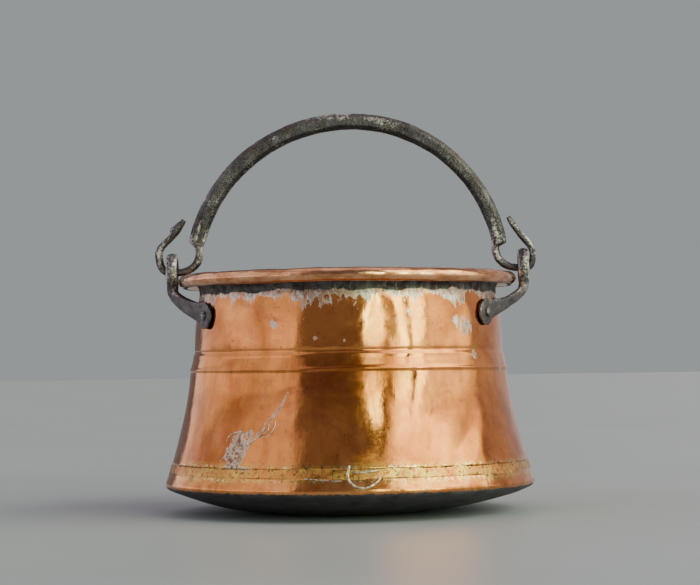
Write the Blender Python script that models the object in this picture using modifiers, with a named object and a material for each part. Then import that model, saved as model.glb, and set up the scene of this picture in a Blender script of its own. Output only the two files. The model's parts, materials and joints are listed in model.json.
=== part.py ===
"""Hammered copper cauldron with a forged iron bail handle.

The wall is one sheet of copper, rolled over an iron wire at the rim and brazed with brass to a
separate domed bottom pan. Two iron ears are riveted below the rim. The bail ends in two upturned
hooks, which hang in the ears' loops and swing about the X axis.

Metres, +Z up. The origin is the centre of the flat spot that the pot stands on.
"""

import math

import bmesh
import bpy
from mathutils import Quaternion, Vector

# ---- fits -------------------------------------------------------------------------------------
SEAT_GAP = 0.0003  # between faces that touch
HOOK_CLEARANCE = 0.0006  # between a hook and the rim below it
LOOP_STAND_OFF = 0.0018  # between the rim and an ear's loop

# ---- copper body ------------------------------------------------------------------------------
BASE_RADIUS = 0.150  # widest place, where the wall turns under
BODY_HEIGHT = 0.1867  # floor to the middle of the rolled rim
WALL_THICKNESS = 0.0013
CORNER_ROUNDING = 0.005
CORNER_HEIGHT = 0.024  # floor to the middle of the rounded corner
BELT_HEIGHT = 0.1154  # floor to the lower edge of the belt
BELT_WIDTH = 0.0148
BELT_RADIUS = 0.1284
BELT_TAPER = 0.0032  # how much smaller the belt's upper edge is
NECK_RADIUS = 0.1207
NECK_DROP = 0.0102  # middle of the rim to the narrowest place
SKIRT_CURVE = 1.5  # flare of the wall below the belt, 1 is straight

# ---- rolled rim -------------------------------------------------------------------------------
RIM_OVERHANG = 0.01145  # neck to the middle of the roll
RIM_WIRE_RADIUS = 0.00375
ROLL_LEAVES = math.radians(115)  # where the sheet runs onto the wire
ROLL_ENDS = math.radians(165)  # where its edge is tucked in under the flare

# ---- bottom pan and seam ----------------------------------------------------------------------
PAN_THICKNESS = 0.0015
FLAT_RADIUS = 0.047  # flat spot that the pot stands on
BOTTOM_CURVE = 2.15  # how late the bottom turns up, 1 is a cone
SEAM_HEIGHT = 0.037  # floor to the middle of the brazed seam
SEAM_WIDTH = 0.0054
SEAM_THICKNESS = 0.0019
SEAM_PROUD = 0.0002

# ---- ears -------------------------------------------------------------------------------------
FOOT_ANGLE = math.radians(28)  # from the X axis to a rivet
FOOT_LENGTH = 0.021
FOOT_WIDTH = 0.0195
FOOT_THICKNESS = 0.0032
FOOT_SLOPE = math.radians(32)  # of the foot's long way above the horizontal
RIVET_DROP = 0.0185  # neck to a rivet
STRAP_WIDTHS = {"left": 0.0115, "right": 0.0085}
STRAP_THICKNESS = 0.0042
STRAP_END_WIDTH = 0.0064  # where it turns up into the loop
LOOP_DEPTH = 0.0086  # of the loop's bar, along X
LOOP_BAR = 0.0056  # of the loop's bar, across
LOOP_OPENING = 0.0114  # inside width of the loop, along Y
LOOP_ABOVE = 0.0101  # hinge axis to the inside of the loop's top
LOOP_BELOW = 0.0100  # hinge axis to the narrow place under the loop

# ---- rivets -----------------------------------------------------------------------------------
RIVET_RADIUS = 0.0025
RIVET_HEAD_RADIUS = 0.0041
RIVET_HEAD_HEIGHT = 0.0024
RIVET_TAIL_RADIUS = 0.0038
RIVET_TAIL_HEIGHT = 0.0016
RIVET_TAIL_GAP = 0.0007  # the wall bends towards the tail all round it

# ---- bail -------------------------------------------------------------------------------------
HOOK_RADIUS = 0.0029  # of the hook's bar where it lies in the loop
BAIL_WIDTH = 0.0139  # of the arch's bar, in the arch's plane
BAIL_INNER = 0.0053  # the part of that width on the inner side of the arch's line
BAIL_DEPTH = 0.0108  # of the arch's bar, along Y
BAIL_CHAMFER = 0.0026
BAIL_INSET = 0.0181  # loop's middle to the line of the arch
ARCH_DROP = 0.0051  # hinge axis down to the middle of the arch
ARCH_ENDS = math.radians(14)  # where the arch stops and its shoulders are
RIGHT_END = math.radians(12.7)  # and the right one, which is drawn down lower

# Each hook's line, as distances outward and up from the hinge axis, with the bar's half widths on
# its outer and inner sides and its depth along Y, in HOOK_RADIUS. Outward is from the loop's
# middle to the line on the inner limb, and from the loop's outer face to the bar on the others.
INNER_LIMB = (
    (-0.0219, 0.0119, 1.07, 1.07, 2.28),
    (-0.0199, 0.0073, 1.07, 1.07, 2.14),
    (-0.0159, 0.0036, 1.03, 1.03, 2.07),
    (-0.0110, 0.0012, 1.00, 1.00, 2.00),
    (-0.0056, 0.0002, 1.00, 1.00, 2.00),
    (0.0000, 0.0000, 1.00, 1.00, 2.00),
)
SHOULDERS = {
    "left": ((-0.0222, 0.0200, 1.07, 1.07, 2.62), (-0.0225, 0.0160, 1.03, 1.03, 2.41)),
    "right": ((-0.0224, 0.0184, 1.07, 1.07, 2.62), (-0.0225, 0.0150, 1.03, 1.03, 2.41)),
}
OUTER_LIMBS = {
    "left": (
        (-0.0018, 0.0011, 1.00, 1.00, 2.00),
        (0.0015, 0.0046, 1.03, 1.03, 2.07),
        (0.0030, 0.0095, 1.07, 1.07, 2.14),
        (0.0036, 0.0152, 1.07, 1.07, 2.14),
        (0.0022, 0.0202, 1.00, 1.00, 2.07),
        (-0.0007, 0.0240, 0.93, 0.93, 2.00),
        (-0.0042, 0.0272, 0.86, 0.86, 1.93),
        (-0.0074, 0.0303, 0.93, 1.00, 2.07),
        (-0.0113, 0.0344, 1.41, 1.52, 2.55),
        (-0.0141, 0.0387, 1.31, 1.38, 2.41),
        (-0.0163, 0.0427, 0.76, 0.83, 1.66),
    ),
    "right": (
        (-0.0020, 0.0014, 1.00, 1.00, 2.00),
        (0.0004, 0.0053, 0.90, 0.90, 2.00),
        (0.0009, 0.0100, 0.86, 0.86, 2.00),
        (0.0005, 0.0145, 0.86, 0.86, 1.93),
        (-0.0016, 0.0185, 0.86, 0.86, 1.93),
        (-0.0048, 0.0226, 0.90, 0.90, 1.93),
        (-0.0086, 0.0270, 0.86, 0.86, 1.86),
        (-0.0124, 0.0322, 0.86, 0.86, 1.79),
        (-0.0155, 0.0370, 0.83, 0.83, 1.66),
        (-0.0177, 0.0418, 0.62, 0.62, 1.38),
    ),
}

# ---- how finely the solids are divided --------------------------------------------------------
TURNS = 48  # steps round the pot
RIVET_TURNS = 16
ARCH_STEPS = 37  # odd, so that one facet is level at the top of the arch
HOOK_STEPS = 2  # sections from one point of a hook's line to the next
EAR_STEPS = 2  # and from one station of an ear to the next

# ---- worked out from the sizes above ----------------------------------------------------------
NECK_HEIGHT = BODY_HEIGHT - NECK_DROP
BELT_TOP = BELT_HEIGHT + BELT_WIDTH
BELT_TOP_RADIUS = BELT_RADIUS - BELT_TAPER
RIM_RADIUS = NECK_RADIUS + RIM_OVERHANG
ROLL_RADIUS = RIM_WIRE_RADIUS + SEAT_GAP
RIM_TUBE = ROLL_RADIUS + WALL_THICKNESS
RIM_TOP = BODY_HEIGHT + RIM_TUBE
HINGE_HEIGHT = RIM_TOP + HOOK_RADIUS + HOOK_CLEARANCE
LOOP_RADIUS = RIM_RADIUS + RIM_TUBE + LOOP_STAND_OFF + LOOP_DEPTH / 2
RIVET_HEIGHT = NECK_HEIGHT - RIVET_DROP
# Turns the rivets' facets off the lines of the feet, which the holes would only graze.
RIVET_TWIST = Quaternion((0, 0, 1), math.radians(5))
SIDES = {"left": -1, "right": 1}
ENDS = {"front": -1, "back": 1}


# ---- the copper body's outline ----------------------------------------------------------------
def corner_point(angle):
    """A point on the rounded corner, at an angle above the horizontal."""
    radius = BASE_RADIUS - CORNER_ROUNDING + CORNER_ROUNDING * math.cos(angle)
    return radius, CORNER_HEIGHT + CORNER_ROUNDING * math.sin(angle)


SKIRT_START = corner_point(math.radians(19))
BOTTOM_END = corner_point(math.radians(-67))


def wall_radius(height):
    """The outer radius of the copper body, from the rounded corner up to the neck."""
    if height <= SKIRT_START[1]:
        return SKIRT_START[0]
    if height < BELT_HEIGHT:
        left = (BELT_HEIGHT - height) / (BELT_HEIGHT - SKIRT_START[1])
        return BELT_RADIUS + (SKIRT_START[0] - BELT_RADIUS) * left**SKIRT_CURVE
    if height < BELT_TOP:
        return BELT_RADIUS - BELT_TAPER * (height - BELT_HEIGHT) / BELT_WIDTH
    part = min((height - BELT_TOP) / (NECK_HEIGHT - BELT_TOP), 1.0)
    return BELT_TOP_RADIUS + (NECK_RADIUS - BELT_TOP_RADIUS) * part**2


def wall_normal(angle, height):
    """The wall's outward direction at an angle round the pot."""
    step = 0.001
    slope = (wall_radius(height - step) - wall_radius(height + step)) / (2 * step)
    return Vector((math.cos(angle), math.sin(angle), slope)).normalized()


def on_wall(angle, height, lift=0.0):
    """A point on the wall's outer face, or lifted off it."""
    radius = wall_radius(height)
    place = Vector((radius * math.cos(angle), radius * math.sin(angle), height))
    return place + lift * wall_normal(angle, height)


def spaced(start, end, steps):
    """Evenly spaced values from start to end, both included."""
    return [start + (end - start) * i / steps for i in range(steps + 1)]


def bezier(a, b, c, d, part):
    """A point on a cubic curve through the XZ points a and d, pulled by b and c."""
    near, far = 1 - part, part
    return tuple(
        near**3 * a[i] + 3 * near**2 * far * b[i] + 3 * near * far**2 * c[i] + far**3 * d[i]
        for i in range(2)
    )


def rim_outline():
    """The roll from its tucked edge round the wire, then the flare down to the neck."""
    line = []
    for angle in spaced(ROLL_ENDS, 2 * math.pi + ROLL_LEAVES, 12):
        line.append(
            (
                RIM_RADIUS + ROLL_RADIUS * math.cos(angle),
                BODY_HEIGHT + ROLL_RADIUS * math.sin(angle),
            )
        )
    top, foot = line[-1], (NECK_RADIUS, NECK_HEIGHT + 0.1 * NECK_DROP)
    pull = 0.42 * RIM_OVERHANG
    onward = (
        top[0] - pull * math.sin(ROLL_LEAVES),
        top[1] + pull * math.cos(ROLL_LEAVES),
    )
    above = (NECK_RADIUS, foot[1] + 0.55 * NECK_DROP)
    line += [bezier(top, onward, above, foot, part) for part in spaced(0, 1, 5)[1:]]
    return line


# ---- scene, materials and shared shapes -------------------------------------------------------
def clear_scene():
    for old in list(bpy.data.objects):
        bpy.data.objects.remove(old, do_unlink=True)


def new_collection(name):
    collection = bpy.data.collections.new(name)
    bpy.context.scene.collection.children.link(collection)
    return collection


def new_material(name, colour, metallic, roughness):
    material = bpy.data.materials.new(name)
    material.use_nodes = True
    shader = material.node_tree.nodes["Principled BSDF"]
    shader.inputs["Base Color"].default_value = (*colour, 1.0)
    shader.inputs["Metallic"].default_value = metallic
    shader.inputs["Roughness"].default_value = roughness
    return material


def new_object(name, mesh, collection, material=None):
    piece = bpy.data.objects.new(name, mesh)
    collection.objects.link(piece)
    if material:
        mesh.materials.append(material)
    return piece


def polyline_mesh(name, outline):
    """The outline as joined edges in the XZ plane, for a Screw modifier."""
    mesh = bpy.data.meshes.new(name)
    points = [(radius, 0.0, height) for radius, height in outline]
    mesh.from_pydata(points, [(i, i + 1) for i in range(len(points) - 1)], [])
    return mesh


def turn(piece, steps):
    screw = piece.modifiers.new("Turn", "SCREW")
    screw.axis = "Z"
    screw.steps = screw.render_steps = steps
    screw.use_merge_vertices = True
    screw.merge_threshold = 0.00001
    screw.use_smooth_shade = True


def turned_shell(name, outline, thickness, collection, material):
    """A sheet whose outer face is the outline turned round Z, with its thickness inside."""
    piece = new_object(name, polyline_mesh(name, outline), collection, material)
    turn(piece, TURNS)
    wall = piece.modifiers.new("Sheet", "SOLIDIFY")
    wall.thickness = thickness
    wall.offset = -1.0
    wall.use_even_offset = True
    return piece


def loft(name, rings, collection, material):
    """A closed solid through equal rings of points, with flat ends."""
    mesh = bpy.data.meshes.new(name)
    build = bmesh.new()
    rows = [[build.verts.new(point) for point in ring] for ring in rings]
    count = len(rows[0])
    for row, following in zip(rows, rows[1:]):
        for i in range(count):
            j = (i + 1) % count
            build.faces.new((row[i], row[j], following[j], following[i]))
    build.faces.new(list(reversed(rows[0])))
    build.faces.new(rows[-1])
    bmesh.ops.recalc_face_normals(build, faces=build.faces)
    bmesh.ops.triangulate(build, faces=build.faces)
    build.to_mesh(mesh)
    build.free()
    mesh.shade_smooth()
    mesh.set_sharp_from_angle(angle=math.radians(38))
    return new_object(name, mesh, collection, material)


def chamfered(low, high, half_depth, chamfer):
    """An oblong's eight corners: from low to high one way, and half_depth either side."""
    return (
        (high, -half_depth + chamfer),
        (high, half_depth - chamfer),
        (high - chamfer, half_depth),
        (low + chamfer, half_depth),
        (low, half_depth - chamfer),
        (low, -half_depth + chamfer),
        (low + chamfer, -half_depth),
        (high - chamfer, -half_depth),
    )


def smooth_through(points, steps):
    """Points on a smooth curve through the given ones, with steps from each to the next."""
    line = []
    for i in range(len(points) - 1):
        before = points[max(i - 1, 0)]
        here, there = points[i], points[i + 1]
        after = points[min(i + 2, len(points) - 1)]
        for step in range(steps):
            part = step / steps
            line.append(
                0.5
                * (
                    2 * here
                    + (there - before) * part
                    + (2 * before - 5 * here + 4 * there - after) * part**2
                    + (3 * here - before - 3 * there + after) * part**3
                )
            )
    return line + [points[-1]]


def straight_through(values, steps):
    """Values that change evenly from each given one to the next."""
    line = []
    for here, there in zip(values, values[1:]):
        line += [here + (there - here) * step / steps for step in range(steps)]
    return line + [values[-1]]


def tangents(points):
    last = len(points) - 1
    return [
        (points[min(i + 1, last)] - points[max(i - 1, 0)]).normalized()
        for i in range(len(points))
    ]


# ---- copper and brass -------------------------------------------------------------------------
def make_pot_wall(parts, material, holes):
    lowest = SEAM_HEIGHT + SEAM_WIDTH / 2 + SEAT_GAP
    heights = spaced(NECK_HEIGHT, BELT_TOP, 4)
    heights += [BELT_HEIGHT]
    heights += spaced(BELT_HEIGHT, lowest, 6)[1:]
    outline = rim_outline() + [(wall_radius(z), z) for z in heights]
    wall = turned_shell("pot_wall", outline, WALL_THICKNESS, parts, material)
    drilled(wall, holes)


def make_rim_wire(parts, material):
    bpy.ops.mesh.primitive_torus_add(
        location=(0, 0, BODY_HEIGHT),
        major_radius=RIM_RADIUS,
        minor_radius=RIM_WIRE_RADIUS,
        major_segments=TURNS,
        minor_segments=10,
    )
    wire = bpy.context.object
    wire.name = wire.data.name = "rim_wire"
    for owner in list(wire.users_collection):
        owner.objects.unlink(wire)
    parts.objects.link(wire)
    wire.data.materials.append(material)
    wire.data.shade_smooth()


def make_brass_seam(parts, material):
    low, high = SEAM_HEIGHT - SEAM_WIDTH / 2, SEAM_HEIGHT + SEAM_WIDTH / 2
    outline = [(wall_radius(z) + SEAM_PROUD, z) for z in spaced(high, low, 2)]
    turned_shell("brass_seam", outline, SEAM_THICKNESS, parts, material)


def make_bottom_pan(parts, material):
    highest = SEAM_HEIGHT - SEAM_WIDTH / 2 - SEAT_GAP
    outline = [(wall_radius(z), z) for z in spaced(highest, SKIRT_START[1], 2)]
    corner = spaced(math.radians(19), math.radians(-67), 4)
    outline += [corner_point(angle) for angle in corner[1:]]
    for part in spaced(1, 0, 7)[1:]:
        radius = FLAT_RADIUS + part * (BOTTOM_END[0] - FLAT_RADIUS)
        outline.append((radius, BOTTOM_END[1] * part**BOTTOM_CURVE))
    outline.append((0.0, 0.0))
    turned_shell("bottom_pan", outline, PAN_THICKNESS, parts, material)


# ---- ears and rivets --------------------------------------------------------------------------
def rivet_angle(side, end):
    """The angle of a rivet round the pot, from +X."""
    angle = FOOT_ANGLE * ENDS[end]
    return angle if SIDES[side] > 0 else math.pi - angle


def stand_on_wall(piece, angle, height):
    """Puts a piece on the wall's outer face, with its own Z pointing outwards."""
    piece.location = on_wall(angle, height)
    piece.rotation_mode = "QUATERNION"
    outward = wall_normal(angle, height)
    piece.rotation_quaternion = outward.to_track_quat("Z", "Y") @ RIVET_TWIST


def drilled(piece, holes, solver="EXACT"):
    for hole in holes.objects:
        cut = piece.modifiers.new(hole.name, "BOOLEAN")
        cut.operation = "DIFFERENCE"
        cut.object = hole
        cut.solver = solver


def make_rivet_hole(side, end, holes):
    angle = rivet_angle(side, end)
    reach = 4 * (FOOT_THICKNESS + WALL_THICKNESS)
    build = bmesh.new()
    bmesh.ops.create_cone(
        build,
        cap_ends=True,
        segments=RIVET_TURNS,
        radius1=RIVET_RADIUS + SEAT_GAP,
        radius2=RIVET_RADIUS + SEAT_GAP,
        depth=reach,
    )
    name = f"hole_{side}_{end}"
    mesh = bpy.data.meshes.new(name)
    build.to_mesh(mesh)
    build.free()
    hole = new_object(name, mesh, holes)
    stand_on_wall(hole, angle, RIVET_HEIGHT)
    hole.hide_render = True
    hole.display_type = "WIRE"


def make_rivet(side, end, parts, material):
    """A domed head on the foot and a flattened tail inside the pot, on one shank."""
    seat = FOOT_THICKNESS + 2 * SEAT_GAP
    inside = -WALL_THICKNESS - RIVET_TAIL_GAP
    outline = [
        (RIVET_HEAD_RADIUS * math.sin(angle), seat + RIVET_HEAD_HEIGHT * math.cos(angle))
        for angle in spaced(0, math.pi / 2, 3)
    ]
    outline += [(RIVET_RADIUS, seat), (RIVET_RADIUS, inside)]
    outline += [
        (RIVET_TAIL_RADIUS * math.sin(angle), inside + RIVET_TAIL_HEIGHT * math.cos(angle))
        for angle in spaced(math.pi / 2, math.pi, 3)
    ]
    name = f"rivet_{side}_{end}"
    rivet = new_object(name, polyline_mesh(name, outline), parts, material)
    turn(rivet, RIVET_TURNS)
    stand_on_wall(rivet, rivet_angle(side, end), RIVET_HEIGHT)


def ear_half(strap_width):
    """The stations of half an ear, at +X and +Y, from the foot's tip to the top of the loop.

    Each is a place, the bar's face direction, and its width and thickness there.
    """
    stations = []
    lift = SEAT_GAP + FOOT_THICKNESS / 2
    # How far along the foot, with the shares of its width and thickness there.
    for along, wide, thick in (
        (-0.50, 0.42, 0.70),
        (-0.40, 0.76, 0.90),
        (-0.20, 0.98, 1.00),
        (0.00, 1.00, 1.00),
        (0.22, 0.92, 1.00),
    ):
        run = along * FOOT_LENGTH
        angle = FOOT_ANGLE - run * math.cos(FOOT_SLOPE) / wall_radius(RIVET_HEIGHT)
        height = RIVET_HEIGHT + run * math.sin(FOOT_SLOPE)
        place = on_wall(angle, height, lift)
        width, thickness = wide * FOOT_WIDTH, thick * FOOT_THICKNESS
        stations.append((place, wall_normal(angle, height), width, thickness))
    leaves = stations[-1][0]
    side_y = LOOP_OPENING / 2 + LOOP_BAR / 2
    base = Vector((LOOP_RADIUS, 0.72 * side_y, HINGE_HEIGHT - LOOP_BELOW - LOOP_BAR / 2))
    reached = base + Vector((-0.0012, 0.0038, -0.0050))
    run = (reached - leaves).xy.normalized()
    outward = Vector((-run.y, run.x, 0.0))
    foot_end = 0.92 * FOOT_WIDTH
    # How far along the strap, with its rise and its width.
    for along, rise, width in (
        (0.25, 0.14, (foot_end + strap_width) / 2),
        (0.55, 0.37, strap_width),
        (0.82, 0.68, (strap_width + STRAP_END_WIDTH) / 2),
    ):
        place = leaves.lerp(reached, along)
        place.z = leaves.z + rise * (reached.z - leaves.z)
        stations.append((place, outward, width, STRAP_THICKNESS))
    turning = (outward + Vector((0, 1, 0))).normalized()
    thickness = (STRAP_THICKNESS + LOOP_BAR) / 2
    stations.append((reached, turning, STRAP_END_WIDTH, thickness))
    depth = (STRAP_END_WIDTH + LOOP_DEPTH) / 2
    stations.append((base, Vector((0, 1, 0)), depth, LOOP_BAR))
    middle = HINGE_HEIGHT
    crown = LOOP_ABOVE + LOOP_BAR / 2
    for angle in spaced(math.radians(-25), math.radians(90), 4):
        outer = Vector((0, side_y * math.cos(angle), crown * math.sin(angle)))
        face = Vector((0, math.cos(angle) / side_y, math.sin(angle) / crown)).normalized()
        stations.append((Vector((LOOP_RADIUS, 0, middle)) + outer, face, LOOP_DEPTH, LOOP_BAR))
    return stations


def make_ear(side, parts, material, holes):
    half = ear_half(STRAP_WIDTHS[side])
    flip = Vector((1, -1, 1))
    whole = half + [(p * flip, n * flip, w, t) for p, n, w, t in reversed(half[:-1])]
    places = smooth_through([station[0] for station in whole], EAR_STEPS)
    faces = smooth_through([station[1] for station in whole], EAR_STEPS)
    widths = straight_through([station[2] for station in whole], EAR_STEPS)
    thicknesses = straight_through([station[3] for station in whole], EAR_STEPS)
    mirror = Vector((SIDES[side], 1, 1))
    rings = []
    for i, along in enumerate(tangents(places)):
        across = along.cross(faces[i]).normalized()
        face = across.cross(along).normalized()
        corners = chamfered(
            -widths[i] / 2, widths[i] / 2, thicknesses[i] / 2, 0.28 * thicknesses[i]
        )
        rings.append([(places[i] + u * across + v * face) * mirror for u, v in corners])
    ear = loft(f"ear_{side}", rings, parts, material)
    drilled(ear, holes, "MANIFOLD")


# ---- bail -------------------------------------------------------------------------------------
def hook_stations(side):
    """The sections of one hook, from its shoulder to its tip, as place, sides and depth."""
    face = LOOP_DEPTH / 2
    inner_limb = SHOULDERS[side] + INNER_LIMB
    line = [(out, up) for out, up, *_ in inner_limb]
    line += [(face + stand + outer * HOOK_RADIUS, up) for stand, up, outer, *_ in OUTER_LIMBS[side]]
    sign = SIDES[side]
    places = [Vector((sign * (LOOP_RADIUS + out), 0, HINGE_HEIGHT + up)) for out, up in line]
    sizes = [HOOK_RADIUS * Vector(point[2:]) for point in inner_limb + OUTER_LIMBS[side]]
    return list(zip(smooth_through(places, HOOK_STEPS), straight_through(sizes, HOOK_STEPS)))


def arch_stations():
    """The sections of the arch, from its left end over the top to its right end."""
    radius = LOOP_RADIUS - BAIL_INSET
    middle = HINGE_HEIGHT - ARCH_DROP
    sizes = Vector((BAIL_WIDTH - BAIL_INNER, BAIL_INNER, BAIL_DEPTH))
    angles = spaced(ARCH_ENDS, math.pi - ARCH_ENDS, ARCH_STEPS) + [math.pi - RIGHT_END]
    return [
        (Vector((-radius * math.cos(angle), 0, middle + radius * math.sin(angle))), sizes)
        for angle in angles
    ]


def make_bail(parts, material):
    stations = list(reversed(hook_stations("left"))) + arch_stations() + hook_stations("right")
    rings = []
    for (place, sizes), along in zip(stations, tangents([s[0] for s in stations])):
        outward = Vector((-along.z, 0, along.x))
        outer, inner, depth = sizes
        chamfer = min(BAIL_CHAMFER, 0.29 * min(outer + inner, depth))
        corners = chamfered(-inner, outer, depth / 2, chamfer)
        rings.append([place + u * outward + Vector((0, v, 0)) for u, v in corners])
    bail = loft("bail_handle", rings, parts, material)
    pivot = Vector((0, 0, HINGE_HEIGHT))
    for vertex in bail.data.vertices:
        vertex.co -= pivot
    bail.location = pivot


def main():
    clear_scene()
    parts = new_collection("copper_cauldron")
    holes = new_collection("cutters")

    copper = new_material("copper", (0.72, 0.33, 0.17), 1.0, 0.30)
    sooty = new_material("sooted copper", (0.10, 0.07, 0.06), 0.7, 0.62)
    brass = new_material("brazing brass", (0.66, 0.48, 0.20), 1.0, 0.42)
    iron = new_material("forged iron", (0.11, 0.11, 0.115), 0.85, 0.52)
    wire = new_material("iron wire", (0.16, 0.14, 0.13), 0.85, 0.60)

    for side in SIDES:
        for end in ENDS:
            make_rivet_hole(side, end, holes)
    make_pot_wall(parts, copper, holes)
    make_rim_wire(parts, wire)
    make_brass_seam(parts, brass)
    make_bottom_pan(parts, sooty)
    for side in SIDES:
        make_ear(side, parts, iron, holes)
        for end in ENDS:
            make_rivet(side, end, parts, iron)
    make_bail(parts, iron)
    bpy.context.view_layer.update()


main()
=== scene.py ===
"""A hammered copper cauldron with a forged iron bail: fine meshes, materials and a studio.

Metres, in the CAD model's frame: +Z up, the right ear at +X, the front at -Y. Angles that are
called bearings are degrees round the pot from the front, positive towards the right ear.
"""

import itertools
import json
import math

import bpy
import numpy as np
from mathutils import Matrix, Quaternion, Vector


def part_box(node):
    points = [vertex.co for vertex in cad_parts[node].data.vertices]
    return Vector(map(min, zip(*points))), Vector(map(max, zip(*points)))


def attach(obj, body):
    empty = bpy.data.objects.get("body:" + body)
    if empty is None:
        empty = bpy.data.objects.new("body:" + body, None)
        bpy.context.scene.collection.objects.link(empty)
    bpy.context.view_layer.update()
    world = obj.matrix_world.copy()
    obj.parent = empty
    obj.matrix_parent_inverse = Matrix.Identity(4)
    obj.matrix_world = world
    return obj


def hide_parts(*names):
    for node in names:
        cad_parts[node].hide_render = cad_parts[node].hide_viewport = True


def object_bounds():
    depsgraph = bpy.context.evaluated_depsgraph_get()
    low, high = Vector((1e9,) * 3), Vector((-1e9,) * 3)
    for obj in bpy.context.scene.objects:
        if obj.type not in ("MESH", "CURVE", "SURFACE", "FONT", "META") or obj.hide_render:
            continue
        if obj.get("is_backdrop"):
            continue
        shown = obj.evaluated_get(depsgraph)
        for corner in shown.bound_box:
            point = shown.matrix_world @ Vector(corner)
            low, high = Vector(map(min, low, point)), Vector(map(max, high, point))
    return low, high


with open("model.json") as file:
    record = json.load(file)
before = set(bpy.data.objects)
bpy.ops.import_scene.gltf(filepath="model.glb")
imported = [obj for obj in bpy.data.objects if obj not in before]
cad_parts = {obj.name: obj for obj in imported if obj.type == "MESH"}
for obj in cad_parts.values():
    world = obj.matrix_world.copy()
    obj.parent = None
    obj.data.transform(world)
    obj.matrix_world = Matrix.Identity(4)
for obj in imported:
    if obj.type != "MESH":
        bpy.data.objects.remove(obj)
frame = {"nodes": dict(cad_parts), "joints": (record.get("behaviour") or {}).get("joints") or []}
CAD_LOW, CAD_HIGH = (Vector(corner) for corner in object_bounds())
MM = 0.001

# ---- places that the CAD model sets ----
HINGE_HEIGHT = frame["joints"][0]["pos_m"][2]
BASE_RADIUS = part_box("bottom_pan")[1].y
RIM_LOW, RIM_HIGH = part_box("rim_wire")
RIM_HEIGHT = (RIM_LOW.z + RIM_HIGH.z) / 2
SEAM_LOW, SEAM_HIGH = (corner.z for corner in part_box("brass_seam"))
SEAM_HEIGHT = (SEAM_LOW + SEAM_HIGH) / 2

# ---- copper body ----
CORNER_ROUNDING = 5 * MM
CORNER_HEIGHT = 24 * MM
BELT_HEIGHT, BELT_TOP = 115.4 * MM, 130.2 * MM
BELT_RADIUS, BELT_TOP_RADIUS = 128.4 * MM, 125.2 * MM
NECK_HEIGHT, NECK_RADIUS = 176.5 * MM, 120.7 * MM
SKIRT_CURVE = 1.5
RIM_RADIUS = 132.15 * MM
ROLL_RADIUS = 4.05 * MM
WALL = 1.3 * MM
BEAD_RADIUS = ROLL_RADIUS + WALL
ROLL_LEAVES, ROLL_ENDS = math.radians(115), math.radians(165)
PAN_THICKNESS = 1.5 * MM
FLAT_RADIUS = 47 * MM
BOTTOM_CURVE = 2.15
PAN_TOP = 34 * MM
WALL_FOOT = 40 * MM

# ---- ears and rivets ----
FOOT_ANGLE = math.radians(28)
FOOT_LENGTH, FOOT_WIDTH, FOOT_THICKNESS = 21 * MM, 19.5 * MM, 3.2 * MM
FOOT_SLOPE = math.radians(32)
RIVET_HEIGHT = 158 * MM
STRAP_WIDTHS = {"left": 11.5 * MM, "right": 8.5 * MM}
STRAP_THICKNESS = 4.2 * MM
STRAP_END_WIDTH = 6.4 * MM
LOOP_RADIUS = 143.6 * MM
LOOP_DEPTH, LOOP_BAR, LOOP_OPENING = 8.6 * MM, 5.6 * MM, 11.4 * MM
LOOP_ABOVE, LOOP_BELOW = 10.1 * MM, 10.0 * MM
SEAT_GAP = 0.3 * MM
SIDES = {"left": -1, "right": 1}
ENDS = {"front": -1, "back": 1}

# ---- bail ----
BAIL_DEPTH = 10.8 * MM
BAIL_CHAMFER = 3.1 * MM
BAIL_INSET = 18.1 * MM
ARCH_DROP = 5.1 * MM
RIGHT_END, LEFT_END = math.radians(12.7), math.radians(166)
# How far the arch's bar reaches outwards and inwards from its line, at angles from its right end.
ARCH_ANGLES = (12, 35, 55, 75, 90, 105, 125, 145, 168)
ARCH_OUTER = (8.0, 8.6, 9.2, 9.0, 8.3, 7.9, 8.1, 8.2, 7.7)
ARCH_INNER = (4.3, 3.5, 3.4, 4.2, 5.0, 5.5, 5.9, 5.9, 5.4)

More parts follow.
